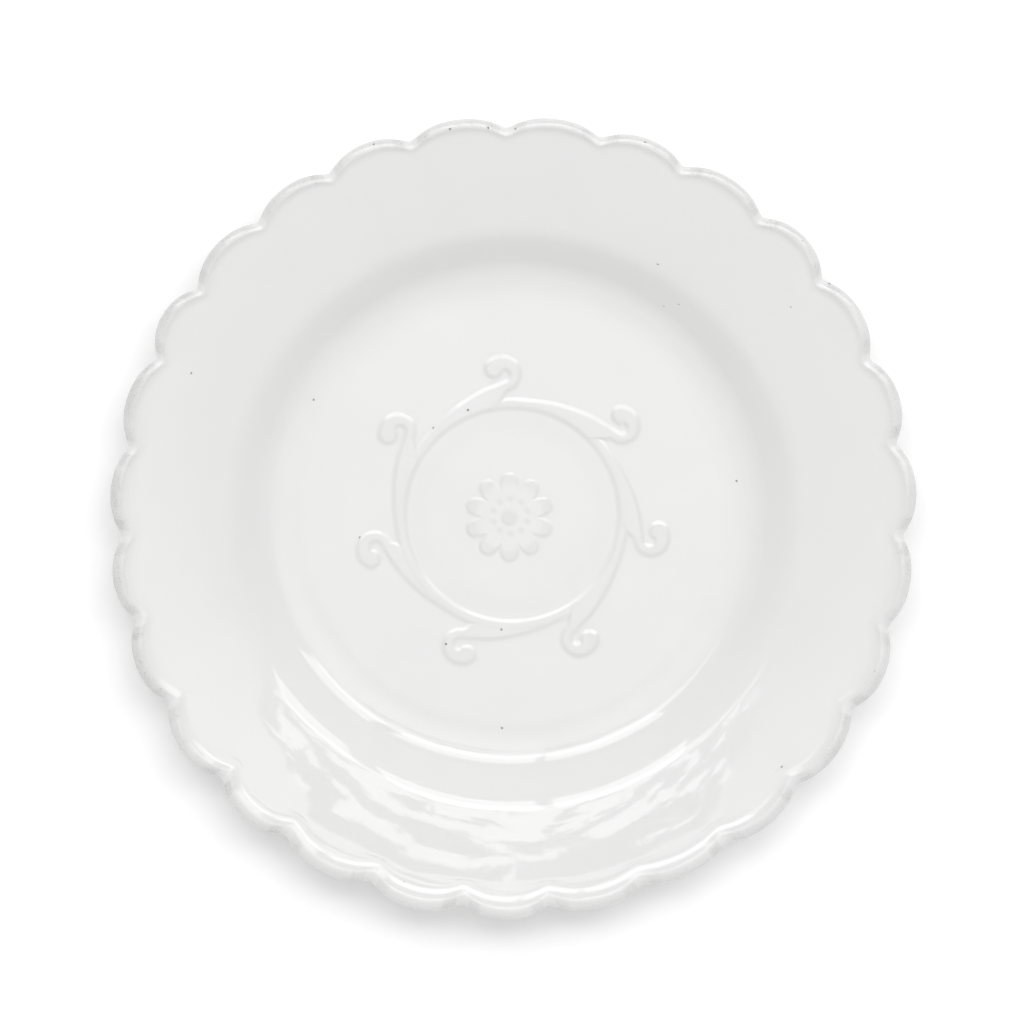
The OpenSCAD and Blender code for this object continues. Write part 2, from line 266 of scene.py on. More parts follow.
def turned_tree():
    """A section turned evenly about Z, as on a wheel."""
    tree, given = new_tree("turned_on_the_wheel", columns="Int", glaze="Material")
    section = given["Geometry"]
    grid, column, row = turning_grid(tree, section, given["Columns"])
    place = add(tree, "GeometryNodeInputPosition").outputs[0]
    at = add(tree, "ShaderNodeSeparateXYZ", {0: taken(tree, section, place, row, "FLOAT_VECTOR")}).outputs
    angle = calc(tree, "MULTIPLY", calc(tree, "DIVIDE", column, given["Columns"]), math.tau)
    close_tree(tree, set_round(tree, grid, angle, at["X"], at["Z"]), given["Glaze"])
    return tree


def worked(piece, tree, **inputs):
    """Runs a geometry tree on a piece with these inputs, and leaves its result as a plain mesh."""
    modifier = piece.modifiers.new(tree.name, "NODES")
    modifier.node_group = tree
    for socket in tree.interface.items_tree:
        key = socket.name.lower().replace(" ", "_")
        if socket.in_out == "INPUT" and key in inputs:
            modifier[socket.identifier] = inputs[key]
    depsgraph = bpy.context.evaluated_depsgraph_get()
    mesh = bpy.data.meshes.new_from_object(
        piece.evaluated_get(depsgraph), preserve_all_data_layers=True, depsgraph=depsgraph)
    piece.modifiers.clear()
    piece.data = mesh
    return piece


def arc(cx, cz, rx, rz, start, end, steps):
    """Points of an arc in a section, with its angles in degrees."""
    turns = np.radians(np.linspace(start, end, steps + 1))
    return [(cx + rx * math.cos(t), cz + rz * math.sin(t)) for t in turns]


turned = turned_tree()


def glaze_unevenness_group():
    """Slow thick and thin places in a dipped glaze: a shade from 0 to 1 and a height."""
    tree, given = new_group(
        "glaze_unevenness",
        {"Wave Length": 18 * mm, "Ripple Length": 2.5 * mm, "Ripple": 0.06, "Seed": 0.0},
        ["Shade", "Height"])
    place = add(tree, "ShaderNodeTexCoord").outputs["Object"]
    waves, ripples = (
        add(tree, "ShaderNodeTexNoise", {
            "Vector": place, "W": given["Seed"], "Scale": calc(tree, "DIVIDE", 1.0, given[length]),
            "Detail": detail}, noise_dimensions="4D").outputs["Fac"]
        for length, detail in (("Wave Length", 1.0), ("Ripple Length", 2.0)))
    height = calc(tree, "ADD", waves, calc(tree, "MULTIPLY", ripples, given["Ripple"]))
    add(tree, "NodeGroupOutput", {"Shade": waves, "Height": height})
    return tree


glaze_unevenness = glaze_unevenness_group()
white = (0.805, 0.805, 0.80)
white_thin = (0.78, 0.78, 0.775)
clay_through = (0.63, 0.63, 0.625)
clay_grit = (0.36, 0.355, 0.35)
glaze_shade_span = 0.015
glaze_wave = 0.22 * mm
glaze_gloss = 0.02
gloss_span = 0.02


def glazed_foot():
    """Bare clay below, and above an uneven line the white glaze of the underside."""
    material, tree, shader = new_material("glazed_foot")
    bare = gritty_clay(tree)[0]
    uneven = placed(
        tree, glaze_unevenness, wave_length=9 * mm, ripple_length=1.5 * mm, ripple=0.3, seed=3.0)
    height = add(tree, "ShaderNodeSeparateXYZ", {
        0: add(tree, "ShaderNodeTexCoord").outputs["Object"]}).outputs["Z"]
    line = calc(
        tree, "MULTIPLY_ADD", uneven["Shade"], glaze_line_wander, glaze_line_z - glaze_line_wander / 2)
    coat = add(tree, "ShaderNodeMapRange", {
        "Value": height, "From Min": line, "From Max": calc(tree, "ADD", line, glaze_edge_w)}).outputs[0]
    tree.links.new(blended(tree, coat, bare, white_thin), shader.inputs["Base Color"])
    rough = calc(tree, "MULTIPLY_ADD", coat, back_gloss - clay_roughness, clay_roughness)
    tree.links.new(rough, shader.inputs["Roughness"])
    bump = add(tree, "ShaderNodeBump", {"Height": coat, "Strength": 0.5, "Distance": 0.2 * mm})
    tree.links.new(bump.outputs[0], shader.inputs["Normal"])
    return material


foot_points = [(foot_in_r, foot_top)]
for corner_r, start, end in (
        (foot_in_r + foot_slant + foot_round, 180 + foot_lean, 270),
        (foot_out_r - foot_slant - foot_round, 270, 360 - foot_lean)):
    foot_points += arc(corner_r, foot_face + foot_round, foot_round, foot_round, start, end, foot_round_steps)
foot_points += [(foot_out_r, foot_top), (foot_in_r, foot_top)]
foot_ring = section_mesh("turned_foot", foot_points)
worked(foot_ring, turned, columns=foot_columns, glaze=glazed_foot())
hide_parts("foot_ring")
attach(foot_ring, "root")

# The front of the plate: floor, well, rim and lip
# One coat of white glaze runs from the flat floor up the coved wall and the gently rising
# rim and over the thick lip, which is pinched into scallops by hand. It thins over the
# lip, where the grey clay and its grit show, and lies thick in the notches. How much grey
# shows on each lobe also carries painted shade: more on the left, less at the bottom.

plate_r = 104.95 * mm
floor_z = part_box("medallion_glaze")[1].z
crest_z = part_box("scalloped_lip")[1].z
band_r = 46 * mm
floor_r = 55.5 * mm
sweep_r = 62.2 * mm
cove_r = 66.7 * mm
wall_r = 71.8 * mm
edge_r = 76.4 * mm
rim_hollow_r = 84 * mm
rim_flat_r = 92 * mm
rim_end_r = 98 * mm
sweep_slope = 8
wall_slope = 40
edge_slope = 10.3
rim_slope = 8.1
rim_flat_slope = 6.6
rim_end_slope = 6.6
lip_foot_slope = 8
coat_t = 0.45 * mm

scallops = 27
steps_a_scallop = 32
notch_depth = 3.6 * mm
notch_start = 9.9
notch_round = 0.08
fullness = 2.6
lip_w = 3.6 * mm
lip_notch_share = 0.95
lip_near_side_share = 0.15
notch_wear_share = 0.45
notch_wear_at = 0.55
notch_wear_span = 0.22
worn_w = 2.9 * mm
worn_h = 3 * mm
crown_w = 2.13 * mm
crown_h = 1.5 * mm
bead_w = 3.1 * mm
bead_slopes = {0: lip_foot_slope, 0.06: 10, 0.4: 20, 0.48: 31, 0.79: 31, 0.83: 12, 1: 0}
crown_steps = 12
lip_under_h = 2.2 * mm
lip_under_steps = 8
notch_dip = 0.3 * mm
fade_w = 11 * mm

notch_shift_shares = [
    0.08, 0.06, 0.08, 0.04, 0.07, 0.04, 0.08, 0.15, 0.11,
    0.05, 0.04, -0.07, -0.04, -0.05, -0.11, -0.13, -0.11, -0.16,
    -0.10, -0.05, -0.09, -0.03, 0, 0, 0.04, 0.04, 0.06]
tip_short_shares = [
    0.02, 0.05, 0.02, 0.12, 0.16, 0.21, 0.14, 0.12, 0.19,
    0.09, 0, 0.09, 0.16, 0.07, 0.02, 0, 0.1, 0.16,
    0.09, 0.18, 0.32, 0.5, 0.32, 0.25, 0.09, 0.16, 0.05]
# Each lobe's share of grey clay is partly painted shade and light: high on the left lobes, which darken, and
# low on the lobes at the bottom, which stay light.
wear_and_shade_shares = [
    0.45, 0.5, 0.45, 0.4, 0.35, 0.35, 0.4, 0.5, 0.6,
    0.65, 0.7, 0.8, 0.85, 0.8, 0.7, 0.55, 0.4, 0.2,
    0.12, 0.1, 0.12, 0.2, 0.4, 0.5, 0.5, 0.5, 0.45]


def front_line(step=0.05 * mm, round_w=0.8 * mm):
    """Radii, heights and slopes of the glazed front up to the lip, its slope changing smoothly."""
    r = np.arange(band_r, plate_r + step, step)
    corners = {
        floor_r: 0, sweep_r: sweep_slope, cove_r: wall_slope, wall_r: wall_slope, edge_r: edge_slope,
        rim_hollow_r: rim_slope, rim_flat_r: rim_flat_slope, rim_end_r: rim_end_slope,
        plate_r - crown_w - bead_w: lip_foot_slope}
    rise = np.interp(r, list(corners), np.sin(np.radians(list(corners.values()))))
    width = int(round_w / step) | 1
    padded = np.pad(rise, width // 2, mode="edge")
    slope = np.arcsin(np.convolve(padded, np.ones(width) / width, "valid"))
    z = floor_z + np.concatenate([[0], np.cumsum(np.tan((slope[1:] + slope[:-1]) / 2)) * step])
    return r, z, slope


line_r, line_z, line_slope = front_line()


def front_z(r):
    """Height of the glazed front at a radius, before its rim is shifted."""
    return float(np.interp(r, line_r, line_z))


def slope_at(r):
    """Slope of the glazed front at a radius."""
    return np.interp(r, line_r, line_slope)


# The inner side of the lip is a bead, steepest near its foot and level on the crest
bead_shares = [0, 0.06, 0.15, 0.24, 0.32, 0.4, 0.44, 0.48, 0.58, 0.69, 0.79, 0.81, 0.83, 0.88, 0.94, 1]
bead_angles = np.interp(bead_shares, list(bead_slopes), list(bead_slopes.values()))
bead_tans = [math.tan(math.radians(angle)) for angle in bead_angles]
bead_rises = [0]
for i in range(1, len(bead_shares)):
    run = (bead_shares[i] - bead_shares[i - 1]) * bead_w
    bead_rises.append(bead_rises[-1] + (bead_tans[i] + bead_tans[i - 1]) / 2 * run)
lip_foot_e = crown_w + bead_w
rim_shift = crest_z - bead_rises[-1] - front_z(plate_r - lip_foot_e)


def coat_z(r):
    """Height of the glazed front, its rim shifted to meet the foot of the lip."""
    return front_z(r) + rim_shift * np.clip((r - floor_r) / (edge_r - floor_r), 0, 1)


def spaced(*stops):
    """Places between the stops, given as pairs of a place and the number of steps up to it."""
    places = [stops[0][0]]
    for (a, _), (b, steps) in zip(stops, stops[1:]):
        places += list(np.linspace(a, b, steps + 1)[1:])
    return places


bend_w = 1 * mm
rim_rows = spaced(
    (band_r, 0), (floor_r - bend_w, 2), (sweep_r, 9), (cove_r, 11), (wall_r, 6), (edge_r + bend_w, 11),
    (plate_r - fade_w, 8), (plate_r - lip_foot_e, 10))
rows = [(r, coat_z(r)) for r in rim_rows]
for share, rise in list(zip(bead_shares, bead_rises))[1:-1]:
    rows.append((plate_r - lip_foot_e + bead_w * share, crest_z - bead_rises[-1] + rise))
crown = plate_r - crown_w, crest_z - crown_h
rows += arc(*crown, crown_w, crown_h, 90, 0, crown_steps)
rows += arc(*crown, crown_w, lip_under_h, 0, -90, lip_under_steps)[1:]
shown_rows = len(rows)

# The hidden side of the coat, back to the floor
seat_in = plate_r - lip_w
rows += [(seat_in, rows[-1][1]), (seat_in, coat_z(seat_in) - coat_t)]
for r in spaced((plate_r - fade_w, 0), (edge_r, 3), (wall_r, 4), (cove_r, 1), (sweep_r, 4), (floor_r, 4)):
    rows.append((r + coat_t * math.sin(slope_at(r)), coat_z(r) - coat_t * math.cos(slope_at(r))))
rows += [(band_r, floor_z - coat_t), (band_r, floor_z)]


def smooth_fade(e):
    """How far a row follows the scallops, at the distance e from the outer edge."""
    t = np.clip((fade_w - e) / (fade_w - lip_foot_e), 0, 1)
    return t * t * (3 - 2 * t)


def near_edge(e, width):
    """1 at the outer edge, dropping to nothing past the width."""
    return math.exp(-((e / width) ** 4))


edge_in = [max(plate_r - r, 0) for r, z in rows]
follow = [smooth_fade(e) for e in edge_in]
bare = [
    near_edge(e, worn_w) if i < shown_rows and z > crest_z - worn_h else 0
    for i, (e, (r, z)) in enumerate(zip(edge_in, rows))]
dip = [notch_dip * near_edge(e, lip_w) for e in edge_in]
loose = [min(1, max(0, (e - crown_w) / bead_w)) for e in edge_in]

front = section_mesh("glazed_front", rows, edge_in=edge_in, follow=follow, bare=bare, dip=dip, loose=loose)

angles = [
    math.radians(notch_start + 360 / scallops * (i + shift)) for i, shift in enumerate(notch_shift_shares)]
notches = section_mesh(
    "notch_places", [(math.cos(a), math.sin(a)) for a in angles + angles[:1]],
    angle=angles + [angles[0] + math.tau], short=tip_short_shares + tip_short_shares[:1],
    worn=wear_and_shade_shares + wear_and_shade_shares[:1])


def scalloped_tree(spared_power=1.5):
    """A section turned about Z, whose outer rows follow the scallops and the listed notches."""
    tree, given = new_tree(
        "pinched_scallops", notches="Object", scallops="Int", steps="Int", plate_radius="Float",
        notch_depth="Float", notch_round="Float", fullness="Float", notch_lip_share="Float",
        near_side_share="Float", rim_rise="Float", notch_wear="Float", notch_wear_at="Float",
        notch_wear_span="Float", glaze="Material")
    section = given["Geometry"]
    places = add(tree, "GeometryNodeObjectInfo", {"Object": given["Notches"]}).outputs["Geometry"]
    columns = whole(tree, "MULTIPLY", given["Scallops"], given["Steps"])
    grid, column, row = turning_grid(tree, section, columns)
    scallop = whole(tree, "MODULO", whole(tree, "DIVIDE_FLOOR", column, given["Steps"]), given["Scallops"])
    step = whole(tree, "MODULO", column, given["Steps"])
    turn = calc(tree, "MULTIPLY", calc(tree, "DIVIDE", step, given["Steps"]), math.pi)
    u = calc(tree, "MULTIPLY_ADD", calc(tree, "COSINE", turn), -0.5, 0.5)
    angle_0, angle_1 = (
        taken(tree, places, named(tree, "angle"), whole(tree, "ADD", scallop, after)) for after in (0, 1))
    angle = calc(tree, "MULTIPLY_ADD", calc(tree, "SUBTRACT", angle_1, angle_0), u, angle_0)

    # Inner is 1 at the tip and 0 at a notch. Fall is the other way round, with its corner rounded
    inner = calc(tree, "SUBTRACT", 1.0, calc(tree, "ABSOLUTE", calc(tree, "MULTIPLY_ADD", u, 2.0, -1.0)))
    soft = calc(tree, "SUBTRACT", calc(tree, "SQRT", calc(
        tree, "ADD", calc(tree, "MULTIPLY", inner, inner),
        calc(tree, "MULTIPLY", given["Notch Round"], given["Notch Round"]))), given["Notch Round"])
    fall = calc(tree, "POWER", calc(tree, "SUBTRACT", 1.0, soft), given["Fullness"])

    short = calc(tree, "MULTIPLY", taken(tree, places, named(tree, "short"), scallop),
                 calc(tree, "SUBTRACT", 1.0, fall))
    edge = calc(tree, "SUBTRACT", given["Plate Radius"],
                calc(tree, "MULTIPLY", given["Notch Depth"], calc(tree, "ADD", short, fall)))
    narrow = calc(tree, "MULTIPLY", calc(tree, "SUBTRACT", 1.0, calc(
        tree, "MULTIPLY", fall, calc(tree, "SUBTRACT", 1.0, given["Notch Lip Share"]))), calc(
        tree, "SUBTRACT", 1.0, calc(tree, "MULTIPLY", calc(tree, "SINE", angle), given["Near Side Share"])))

    position = add(tree, "GeometryNodeInputPosition").outputs[0]
    at = add(tree, "ShaderNodeSeparateXYZ", {0: taken(tree, section, position, row, "FLOAT_VECTOR")}).outputs
    edge_in, follow, bare, dip, loose = (
        taken(tree, section, named(tree, key), row) for key in ("edge_in", "follow", "bare", "dip", "loose"))
    scalloped_r = calc(tree, "SUBTRACT", edge, calc(tree, "MULTIPLY", edge_in, narrow))
    r = calc(tree, "MULTIPLY_ADD", calc(tree, "SUBTRACT", scalloped_r, at["X"]), follow, at["X"])

    # A row moved inwards sinks with the rim, and one moved outwards rises with it up to the crest
    moved_in = calc(tree, "SUBTRACT", at["X"], r)
    inwards, outwards = (calc(tree, kind, moved_in, 0.0) for kind in ("MAXIMUM", "MINIMUM"))
    sunk = calc(tree, "MULTIPLY", given["Rim Rise"], calc(tree, "MULTIPLY_ADD", outwards, loose, inwards))
    z = calc(tree, "SUBTRACT", calc(tree, "SUBTRACT", at["Z"], sunk), calc(tree, "MULTIPLY", dip, fall))

    # The lip is worn by its lobe's own share, which also holds painted shade, and rubbed more on both sides
    # of a notch
    worn = calc(tree, "MULTIPLY", taken(tree, places, named(tree, "worn"), scallop), calc(
        tree, "SUBTRACT", 1.0, calc(tree, "POWER", fall, spared_power)))
    beside = calc(tree, "COMPARE", fall, given["Notch Wear At"], given["Notch Wear Span"])
    thin_and_shade = calc(tree, "MULTIPLY", bare, calc(tree, "MULTIPLY_ADD", beside, given["Notch Wear"], worn))
    stored = add(tree, "GeometryNodeStoreNamedAttribute", {
        "Geometry": grid, "Name": "thin_glaze", "Value": thin_and_shade}, data_type="FLOAT", domain="POINT").outputs[0]
    close_tree(tree, set_round(tree, stored, angle, r, z), given["Glaze"])
    return tree


scalloped = scalloped_tree()


def white_glaze(name, seed, wave=glaze_wave, gloss=glaze_gloss, thin_lip=False, thin_shade=0.0):
    """Glossy white glaze, slightly uneven, which lets the clay through where it is thin and where painted
    shade is carried in the same mask.
    """
    material, tree, shader = new_material(name)
    uneven = placed(
        tree, glaze_unevenness, wave_length=22 * mm, ripple_length=3.5 * mm, ripple=0.04, seed=seed)
    base = blended(tree, uneven["Shade"], *(
        [channel * (1 + spread) for channel in white] for spread in (-glaze_shade_span, glaze_shade_span)))
    if thin_lip or thin_shade:
        thin_and_shade = add(tree, "ShaderNodeAttribute", attribute_name="thin_glaze").outputs["Fac"]
    if thin_shade:
        base = blended(tree, calc(tree, "MULTIPLY", thin_and_shade, thin_shade), base, clay_grit)
    if thin_lip:
        patches = placed(
            tree, glaze_unevenness, wave_length=7 * mm, ripple_length=0.8 * mm, ripple=0.35, seed=seed + 4)
        cover = add(tree, "ShaderNodeMapRange", {
            "Value": patches["Height"], "From Min": 0.35, "From Max": 0.85, "To Min": 0.25}).outputs[0]
        shown = calc(tree, "MULTIPLY", thin_and_shade, cover)
        grit = placed(tree, clay_speckle, spot_size=0.3 * mm, cover=0.5, softness=0.2, seed=seed + 9)["Spots"]
        base = blended(tree, shown, base, clay_through)
        base = blended(tree, calc(tree, "MULTIPLY", shown, grit), base, clay_grit)
    tree.links.new(base, shader.inputs["Base Color"])
    rough = calc(tree, "MULTIPLY_ADD", uneven["Shade"], gloss_span, gloss - gloss_span / 2)
    tree.links.new(rough, shader.inputs["Roughness"])
    shader.inputs["IOR"].default_value = 1.53
    bump = add(tree, "ShaderNodeBump", {"Height": uneven["Height"], "Strength": 1.0, "Distance": wave})
    tree.links.new(bump.outputs[0], shader.inputs["Normal"])
    return material


scallop_values = dict(
    notches=notches, scallops=scallops, steps=steps_a_scallop, plate_radius=plate_r, notch_depth=notch_depth,
    notch_round=notch_round, fullness=fullness, notch_lip_share=lip_notch_share,
    near_side_share=lip_near_side_share, rim_rise=math.tan(math.radians(rim_slope)),
    notch_wear=notch_wear_share, notch_wear_at=notch_wear_at, notch_wear_span=notch_wear_span)
worked(front, scalloped, glaze=white_glaze("front_glaze", 0.0, thin_lip=True), **scallop_values)
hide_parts("front_glaze", "scalloped_lip")
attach(front, "root")

# The underside
# The same glaze coats the back from the foot to the lip, and lies in a soft fillet round
# the foot. A second patch covers the floor inside the foot.

back_t = 0.4 * mm
plate_t = 5.4 * mm
lip_t = 3.4 * mm
fillet_w = 1.4 * mm
fillet_turn = 80
fillet_steps = 6
foot_lap = 0.3 * mm
bend_out_w = 4 * mm
lip_turn_w = 1.2 * mm
lip_seam_w = 2.6 * mm
lip_sag = 0.03 * mm
hidden_lean_share = 0.2
back_wave = 0.08 * mm

underside_rows = []
for r in spaced(
        (foot_out_r + 2 * fillet_w, 0), (sweep_r, 1), (cove_r, 5), (wall_r, 4), (edge_r, 7),
        (plate_r - fade_w, 4), (plate_r - lip_w - lip_turn_w, 8)):
    t = np.interp(r, (edge_r, plate_r - lip_w), (plate_t, lip_t))
    bent_out = t * math.sin(slope_at(r)) * np.clip((edge_r + bend_out_w - r) / bend_out_w, 0, 1)
    underside_rows.append((r + bent_out, coat_z(r) - t * math.cos(slope_at(r))))
fillet = [(foot_out_r - foot_lap, underside_z - fillet_w + foot_lap)] + [
    (foot_out_r + fillet_w * (1 - math.cos(t)), front_z(foot_out_r) - plate_t - fillet_w * (1 - math.sin(t)))
    for t in np.radians(np.linspace(0, fillet_turn, fillet_steps + 1))]
under_lip_z = crest_z - crown_h - lip_under_h
shown = fillet + underside_rows + [
    (plate_r - lip_w, under_lip_z - lip_sag), (plate_r - lip_seam_w, under_lip_z),
    (plate_r - crown_w, under_lip_z)]
hidden = [(r - back_t * hidden_lean_share, z + back_t) for r, z in reversed(shown[len(fillet):])]
loop = list(reversed(shown + hidden + [(foot_out_r - foot_lap, fillet[0][1] + back_t), fillet[0]]))
edge_in = [max(plate_r - r, 0) for r, z in loop]
nowhere = [0] * len(loop)
back = section_mesh(
    "underside_glaze", loop, edge_in=edge_in, follow=[smooth_fade(e) for e in edge_in], bare=nowhere,
    dip=[notch_dip * near_edge(e, lip_w) for e in edge_in], loose=nowhere)
back_glaze = white_glaze("back_glaze", 20.0, wave=back_wave, gloss=back_gloss)
worked(back, scalloped, glaze=back_glaze, **scallop_values)
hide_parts("back_glaze")
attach(back, "root")

patch_top = floor_z - 3 * mm
patch_rows = [(0, patch_top), (foot_in_r, patch_top), (foot_in_r + foot_lap, underside_z - fillet_w)]
for t in np.radians(np.linspace(0, 90, fillet_steps + 1)):
    patch_rows.append((foot_in_r - fillet_w * (1 - math.cos(t)), underside_z - fillet_w * (1 - math.sin(t))))
patch_rows += [(foot_in_r * share, underside_z) for share in (0.8, 0.5, 0.2, 0)]
foot_patch = section_mesh("glaze_inside_foot", patch_rows)
foot_glaze = white_glaze("foot_glaze", 30.0, wave=back_wave, gloss=back_gloss)
worked(foot_patch, turned, columns=180, glaze=foot_glaze)
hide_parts("foot_glaze")
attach(foot_patch, "root")

# The ring and its tendrils
# A low moulded ring on the floor with seven tendrils, which leave it in long arms and curl
# back on themselves. They were pressed up from the clay, and the glaze softens every edge.

ring_r = 28.9 * mm
ring_w = 2.8 * mm
ring_h = 0.26 * mm
tendril_h = 0.33 * mm
flank_out = 0.65 * mm
flank_in = 0.9 * mm
tendril_w = 2.7 * mm
tip_w = 4.9 * mm
curl_out = 7.6 * mm
curl_r = 3.0 * mm
curl_start = math.radians(-166)
curl_end = math.radians(54)
arm_span = math.radians(49)
arm_early_share = 0.25
arm_half_shares = (0.42, 0.5)
arm_rise_share = 0.5
arm_thin_shares = (0.35, 0.6)
curl_thin_shares = (0.6, 1)
web_end = 0.8
curl_directions = [38.7, 93.4, 143.4, 193.7, 248.4, 298.1, 349.9]
pressed_shares = [1, 1, 0.95, 0.72, 0.78, 1, 0.85]


def mixed(ends, share):
    """The value between two ends at a share of the way."""
    return ends[0] + (ends[1] - ends[0]) * share


def guide(name, places):
    """A line in plan that a moulding follows.

    Each place holds X, Y, half the width there, and its shares of height and of thin glaze.
    """
    mesh = bpy.data.meshes.new(name)
    mesh.from_pydata([(place[0], place[1], 0) for place in places], joined_up(len(places)), [])
    for i, key in enumerate(("half_width", "height_share", "thin_share")):
        carry(mesh, key, [place[2 + i] for place in places])
    return in_scene(name, mesh)


def tendril_guide(arm_steps=140, curl_steps=120):
    """An arm that slowly leaves the ring, filled up to it, and the curl, which points along +X."""
    curl_x = ring_r + curl_out
    join_x, join_y = curl_x + curl_r * math.cos(curl_start), curl_r * math.sin(curl_start)
    leave, join_angle = math.hypot(join_x, join_y) - ring_r, math.atan2(join_y, join_x)
    line = []
    for s in np.linspace(0, 1, arm_steps, endpoint=False):
        left = leave * (arm_early_share * s + (1 - arm_early_share) * s * s)
        a = join_angle + (arm_span - join_angle) * (1 - s)
        t = np.clip((1 - s) / (1 - web_end), 0, 1)
        web = left / 2 * t * t * (3 - 2 * t)
        r = ring_r + left - web
        line.append((
            r * math.cos(a), r * math.sin(a), tendril_w * mixed(arm_half_shares, s) + web,
            min(1, ring_h / tendril_h + s * arm_rise_share), mixed(arm_thin_shares, s)))
    for s in np.linspace(0, 1, curl_steps):
        a = mixed((curl_start, curl_end), s)
        line.append((
            curl_x + curl_r * math.cos(a), curl_r * math.sin(a), mixed((tendril_w, tip_w), s ** 2) / 2,
            1, mixed(curl_thin_shares, s)))
    return guide("tendril_line", line)


def direction_points(name, directions, pressed, x=0, y=0):
    """A point for each turned copy of a guide, with its direction and how deep it is pressed."""
    mesh = bpy.data.meshes.new(name)
    mesh.from_pydata([(x, y, 0)] * len(directions), [], [])
    carry(mesh, "angle", np.radians(directions))
    carry(mesh, "pressed", pressed)
    return in_scene(name, mesh)


def relief_tree():
    """An evenly turned blank with a round moulding and turned copies of a guide raised on it."""
    tree, given = new_tree(
        "pressed_relief", columns="Int", guide="Object", directions="Object", centre="Vector",
        ring_radius="Float", ring_width="Float", ring_height="Float", ring_thin_share="Float",
        height="Float", flank_out="Float", flank_in="Float", join_width="Float", dot_radius="Float",
        dot_width="Float", dot_depth="Float", glaze="Material")
    section = given["Geometry"]
    grid, column, row = turning_grid(tree, section, given["Columns"])
    position = add(tree, "GeometryNodeInputPosition").outputs[0]
    at = add(tree, "ShaderNodeSeparateXYZ", {0: taken(tree, section, position, row, "FLOAT_VECTOR")}).outputs
    raised = taken(tree, section, named(tree, "raised"), row)
    angle = calc(tree, "MULTIPLY", calc(tree, "DIVIDE", column, given["Columns"]), math.tau)
    blank = set_round(tree, add(tree, "GeometryNodeStoreNamedAttribute", {
        "Geometry": grid, "Name": "raised", "Value": raised}, data_type="FLOAT", domain="POINT").outputs[0],
        angle, at["X"], at["Z"])

    # Copies of the guide, all real, from which the distance in plan is taken
    line = add(tree, "GeometryNodeObjectInfo", {"Object": given["Guide"]}).outputs["Geometry"]
    places = add(tree, "GeometryNodeObjectInfo", {"Object": given["Directions"]}).outputs["Geometry"]
    turn = add(tree, "ShaderNodeCombineXYZ", {2: named(tree, "angle")}).outputs[0]
    copies = add(tree, "GeometryNodeInstanceOnPoints", {
        "Points": places, "Instance": line, "Rotation": turn}).outputs[0]
    lines = add(tree, "GeometryNodeRealizeInstances", {0: copies}).outputs[0]
    plan = add(tree, "ShaderNodeVectorMath", {0: position, 1: (1, 1, 0)}, operation="MULTIPLY").outputs[0]
    away = add(tree, "GeometryNodeProximity", {
        "Geometry": lines, "Sample Position": plan}, target_element="EDGES").outputs["Distance"]
    nearest = add(tree, "GeometryNodeSampleNearest", {
        "Geometry": lines, "Sample Position": plan}, domain="POINT").outputs[0]
    half, height_share, thin_share, pressed = (
        taken(tree, lines, named(tree, key), nearest)
        for key in ("half_width", "height_share", "thin_share", "pressed"))
    out_of_line = calc(tree, "SUBTRACT", away, half)
    line_height = calc(tree, "MULTIPLY", given["Height"], calc(tree, "MULTIPLY", height_share, pressed))

    from_centre = add(tree, "ShaderNodeVectorMath", {
        0: plan, 1: given["Centre"]}, operation="DISTANCE").outputs[1]
    out_of_ring = calc(tree, "MULTIPLY_ADD", given["Ring Width"], -0.5, calc(
        tree, "ABSOLUTE", calc(tree, "SUBTRACT", from_centre, given["Ring Radius"])))

    def flank(outside, height):
        """Rises smoothly to the height from the outer to the inner end of a flank."""
        fade = add(tree, "ShaderNodeMapRange", {
            "Value": outside, "From Min": given["Flank Out"],
            "From Max": calc(tree, "MULTIPLY", given["Flank In"], -1.0),
            "To Max": height}, interpolation_type="SMOOTHSTEP")
        return fade.outputs[0]

    line_rise, ring_rise = flank(out_of_line, line_height), flank(out_of_ring, given["Ring Height"])
    risen = calc(tree, "SMOOTH_MAX", line_rise, ring_rise, given["Join Width"])

    # A dent beside the root of each copy
    dots = add(tree, "GeometryNodeInstanceOnPoints", {
        "Points": places, "Instance": add(tree, "GeometryNodeMeshLine", {
            "Count": 1, "Start Location": add(
                tree, "ShaderNodeCombineXYZ", {0: given["Dot Radius"]}).outputs[0]}).outputs[0],
        "Rotation": turn}).outputs[0]
    to_dot = add(tree, "GeometryNodeProximity", {
        "Geometry": add(tree, "GeometryNodeRealizeInstances", {0: dots}).outputs[0],
        "Sample Position": plan}, target_element="POINTS").outputs["Distance"]
    dent = add(tree, "ShaderNodeMapRange", {
        "Value": to_dot, "From Min": calc(tree, "MULTIPLY", given["Dot Width"], 0.5), "From Max": 0.0,
        "To Max": given["Dot Depth"]}, interpolation_type="SMOOTHSTEP").outputs[0]
    rise = calc(tree, "MULTIPLY", named(tree, "raised"), calc(tree, "SUBTRACT", risen, dent))

    # The glaze is thinnest on the raised parts, and painted shade darkens the dents
    thin_raised = calc(
        tree, "MAXIMUM", flank(out_of_line, thin_share), flank(out_of_ring, given["Ring Thin Share"]))
    dent_shade = calc(tree, "DIVIDE", dent, calc(tree, "MAXIMUM", given["Dot Depth"], 0.01 * mm))
    thin_and_shade = calc(tree, "MULTIPLY", calc(tree, "MAXIMUM", thin_raised, dent_shade), named(tree, "raised"))
    stored = add(tree, "GeometryNodeStoreNamedAttribute", {
        "Geometry": blank, "Name": "thin_glaze", "Value": thin_and_shade}, data_type="FLOAT", domain="POINT").outputs[0]
    lifted = add(tree, "GeometryNodeSetPosition", {
        "Geometry": stored, "Offset": add(tree, "ShaderNodeCombineXYZ", {2: rise}).outputs[0]}).outputs[0]
    close_tree(tree, lifted, given["Glaze"])
    return tree


relief = relief_tree()
medallion_r = 22 * mm
fine_from_r = 26 * mm
fine_to_r = 44 * mm
relief_glaze = white_glaze("relief_glaze", 0.0, thin_shade=0.07)


